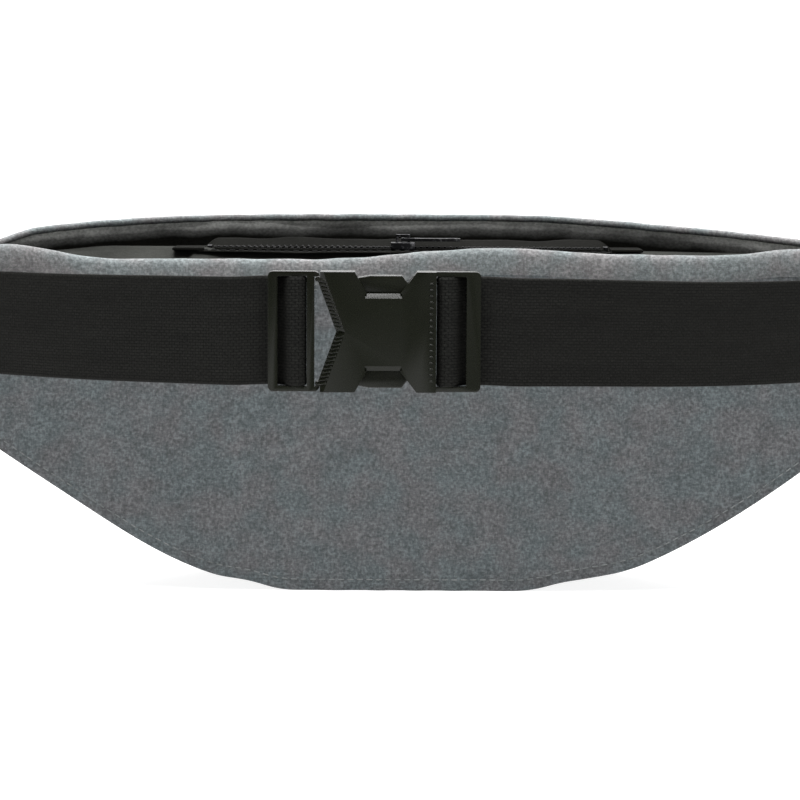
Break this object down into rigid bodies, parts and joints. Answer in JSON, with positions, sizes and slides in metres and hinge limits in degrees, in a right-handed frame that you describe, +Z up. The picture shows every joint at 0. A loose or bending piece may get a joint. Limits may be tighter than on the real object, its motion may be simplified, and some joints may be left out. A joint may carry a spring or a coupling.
{
  "type": "throw rope bag",
  "caption": "Crescent waist pouch for a throw rope, with a zipped mouth and a webbing belt closed by a side-release buckle.",
  "frame": {"origin": "on the surface that the bag stands on, under the middle of the whole object's box, belt included", "axes": "+Z up, +X along the bag from wing to wing, -Y from the pouch towards the buckle"},
  "size_m": [0.418, 0.2214, 0.153],
  "materials": {
    "body_fabric": "heather grey woven polyester with a fine two-tone fleck",
    "rim_fabric": "the same heather cloth, rolled and stitched, paler where it catches light",
    "mouth_fabric": "matt black nylon",
    "lining": "plain olive-grey nylon lining",
    "foam": "closed-cell foam, hidden inside",
    "webbing": "black woven webbing with a fine rib",
    "zip_tape": "black woven zip tape",
    "zip_teeth": "black moulded teeth",
    "zip_metal": "dark gunmetal plating with bright worn edges",
    "buckle_plastic": "satin black moulded acetal"
  },
  "bodies": {
    "pouch": {"back_panel": "body_fabric", "back_padding": "foam", "back_lining": "lining", "back_rim": "rim_fabric", "front_panel": "body_fabric", "float_foam": "foam", "front_lining": "lining", "front_rim": "rim_fabric", "base_gusset": "body_fabric", "top_panel_rear": "mouth_fabric", "top_panel_front": "mouth_fabric", "wing_patch_left": "body_fabric", "wing_patch_right": "body_fabric", "rope_anchor": "webbing", "zip_tape_rear": "zip_tape", "zip_tape_front": "zip_tape", "zip_teeth_rear": "zip_teeth", "zip_teeth_front": "zip_teeth", "zip_stops": "zip_metal", "zip_end_tabs": "mouth_fabric", "buckle_housing": "buckle_plastic", "belt_right": "webbing", "belt_left": "webbing"},
    "buckle_insert": {"buckle_insert": "buckle_plastic", "belt_left_end": "webbing"},
    "prong_upper": {"prong_upper": "buckle_plastic"},
    "prong_lower": {"prong_lower": "buckle_plastic"},
    "zip_slider": {"zip_slider": "zip_metal"},
    "zip_pull": {"zip_pull": "zip_metal"}
  },
  "joints": [
    {"name": "buckle_release", "type": "slide", "parent": "pouch", "child": "buckle_insert", "axis": [-1, 0, 0], "range_m": [0, 0.034], "deforming": ["belt_left_end"]},
    {"name": "prong_upper_flex", "type": "hinge", "parent": "buckle_insert", "child": "prong_upper", "pos_m": [-0.0319, -0.10525, 0.1372], "axis": [0, 1, 0], "range_deg": [0, 12]},
    {"name": "prong_lower_flex", "type": "hinge", "parent": "buckle_insert", "child": "prong_lower", "pos_m": [-0.0319, -0.10525, 0.1008], "axis": [0, -1, 0], "range_deg": [0, 12]},
    {"name": "zip_travel", "type": "slide", "parent": "pouch", "child": "zip_slider", "axis": [1, 0, 0], "range_m": [0, 0.072]},
    {"name": "zip_pull_swing", "type": "hinge", "parent": "zip_slider", "child": "zip_pull", "pos_m": [-0.002, 0.07775, 0.1434], "axis": [0, -1, 0], "range_deg": [0, 165]}
  ],
  "couplings": [
    {"joint": "prong_upper_flex", "follows": "buckle_release", "rad_per_m": 6.109},
    {"joint": "prong_lower_flex", "follows": "buckle_release", "rad_per_m": 6.109}
  ]
}
